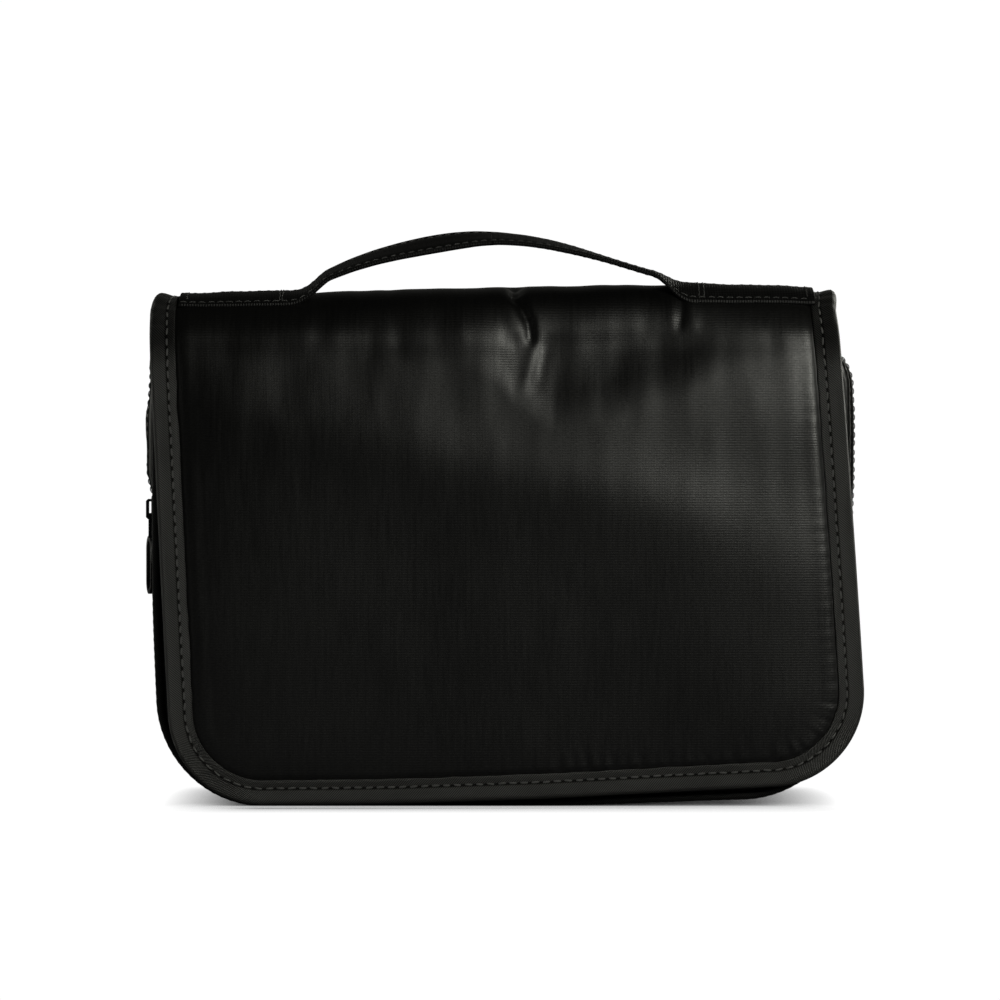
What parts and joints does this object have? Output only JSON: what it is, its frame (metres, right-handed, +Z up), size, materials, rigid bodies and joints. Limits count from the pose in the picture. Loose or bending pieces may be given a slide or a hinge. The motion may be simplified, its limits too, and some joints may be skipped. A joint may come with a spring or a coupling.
{
  "type": "hanging toiletry bag",
  "caption": "Black hanging toiletry bag with a padded fold-over flap, top handle, zipped pouch behind, pockets inside and a swivel hook stowed under the flap.",
  "frame": {"origin": "on the flat base the bag stands on, at the middle of its width, midway between the flap's outer face and the back panel's outer face", "axes": "+Z up; +X to the right as one faces the flap; the flap faces -Y and the back panel +Y"},
  "size_m": [0.2438, 0.0692, 0.1926],
  "materials": {
    "ribbed_nylon": "satin",
    "foam": "matte",
    "lining": "satin",
    "twill_tape": "matte",
    "mesh": "matte",
    "elastic": "matte",
    "webbing": "matte",
    "zip_tape": "matte",
    "zip_coil": "satin",
    "hook_and_loop": "matte",
    "hook_plastic": "satin",
    "black_metal": "satin"
  },
  "bodies": {
    "pouch": {"back_cover": "ribbed_nylon", "back_foam": "foam", "back_lining": "lining", "back_binding": "twill_tape", "gusset_lower": "ribbed_nylon", "gusset_upper_rear": "ribbed_nylon", "front_panel_lower": "ribbed_nylon", "piping_lower": "twill_tape", "bottle_elastic": "elastic", "main_zip_tape_rear": "zip_tape", "main_zip_coil_rear": "zip_coil", "main_zip_end_teeth": "zip_coil", "main_zip_end_tabs": "twill_tape", "front_pocket_mesh": "mesh", "front_pocket_hem": "twill_tape", "front_zip_tape": "zip_tape", "front_zip_coil": "zip_coil", "front_zip_stops": "black_metal", "closure_loop_patches": "hook_and_loop"},
    "mouth": {"front_panel_upper": "ribbed_nylon", "gusset_upper_front": "ribbed_nylon", "piping_upper": "twill_tape", "main_zip_tape_front": "zip_tape", "main_zip_coil_front": "zip_coil"},
    "spine": {"spine_cover": "ribbed_nylon", "spine_foam": "foam", "spine_lining": "lining", "spine_binding": "twill_tape", "rear_fold_seam": "ribbed_nylon", "handle_anchors": "webbing"},
    "handle": {"handle_arch": "webbing"},
    "flap": {"flap_cover": "ribbed_nylon", "flap_foam": "foam", "flap_lining": "lining", "flap_binding": "twill_tape", "front_fold_seam": "ribbed_nylon", "flap_pocket_mesh": "mesh", "flap_pocket_hem": "twill_tape", "flap_zip_tape": "zip_tape", "flap_zip_coil": "zip_coil", "flap_zip_stops": "black_metal", "flap_elastic_bands": "elastic", "closure_hook_patches": "hook_and_loop", "hook_webbing": "webbing"},
    "hook_base": {"hook_yoke": "hook_plastic"},
    "hook": {"swivel_hook": "hook_plastic"},
    "zip_slider": {"main_slider": "black_metal"},
    "zip_pull": {"main_pull": "black_metal"},
    "pocket_slider": {"front_slider": "black_metal"},
    "pocket_pull": {"front_pull": "black_metal"},
    "flap_zip_slider": {"flap_slider": "black_metal"},
    "flap_zip_pull": {"flap_pull": "black_metal"}
  },
  "joints": [
    {"name": "spine_fold", "type": "hinge", "parent": "pouch", "child": "spine", "pos_m": [0, 0.0323, 0.1703], "axis": [-1, 0, 0], "range_deg": [0, 90]},
    {"name": "flap_fold", "type": "hinge", "parent": "spine", "child": "flap", "pos_m": [0, -0.0323, 0.1703], "axis": [-1, 0, 0], "range_deg": [0, 90]},
    {"name": "mouth_open", "type": "hinge", "parent": "pouch", "child": "mouth", "pos_m": [0, -0.022, 0.092], "axis": [1, 0, 0], "range_deg": [0, 22.6]},
    {"name": "handle_swing", "type": "hinge", "parent": "spine", "child": "handle", "pos_m": [0, -0.022, 0.179], "axis": [1, 0, 0], "range_deg": [-75, 75], "stiffness_Nm_per_rad": 0.01},
    {"name": "main_zip_slide", "type": "slide", "parent": "pouch", "child": "zip_slider", "axis": [0, 0, 1], "range_m": [0, 0.036]},
    {"name": "main_pull_flip", "type": "hinge", "parent": "zip_slider", "child": "zip_pull", "pos_m": [-0.119, -0.006, 0.098], "axis": [0, 1, 0], "range_deg": [0, 165]},
    {"name": "pocket_zip_slide", "type": "slide", "parent": "pouch", "child": "pocket_slider", "axis": [1, 0, 0], "range_m": [0, 0.184]},
    {"name": "pocket_pull_swing", "type": "hinge", "parent": "pocket_slider", "child": "pocket_pull", "pos_m": [-0.092, -0.0254, 0.08], "axis": [0, 1, 0], "range_deg": [-65, 65]},
    {"name": "flap_zip_slide", "type": "slide", "parent": "flap", "child": "flap_zip_slider", "axis": [-1, 0, 0], "range_m": [0, 0.176]},
    {"name": "flap_pull_swing", "type": "hinge", "parent": "flap_zip_slider", "child": "flap_zip_pull", "pos_m": [0.089, -0.0278, 0.097], "axis": [0, 1, 0], "range_deg": [-65, 65]},
    {"name": "hook_fold", "type": "hinge", "parent": "flap", "child": "hook_base", "pos_m": [0, -0.0278, 0.0185], "axis": [-1, 0, 0], "range_deg": [0, 180.5]},
    {"name": "hook_swivel", "type": "hinge", "parent": "hook_base", "child": "hook", "pos_m": [0, -0.0278, 0.0265], "axis": [0, 0, 1], "range_deg": [0, 90.5]}
  ],
  "couplings": [
    {"joint": "mouth_open", "follows": "spine_fold", "ratio": 0.25},
    {"joint": "hook_fold", "follows": "flap_fold", "ratio": 2},
    {"joint": "hook_swivel", "follows": "flap_fold", "ratio": 1}
  ]
}
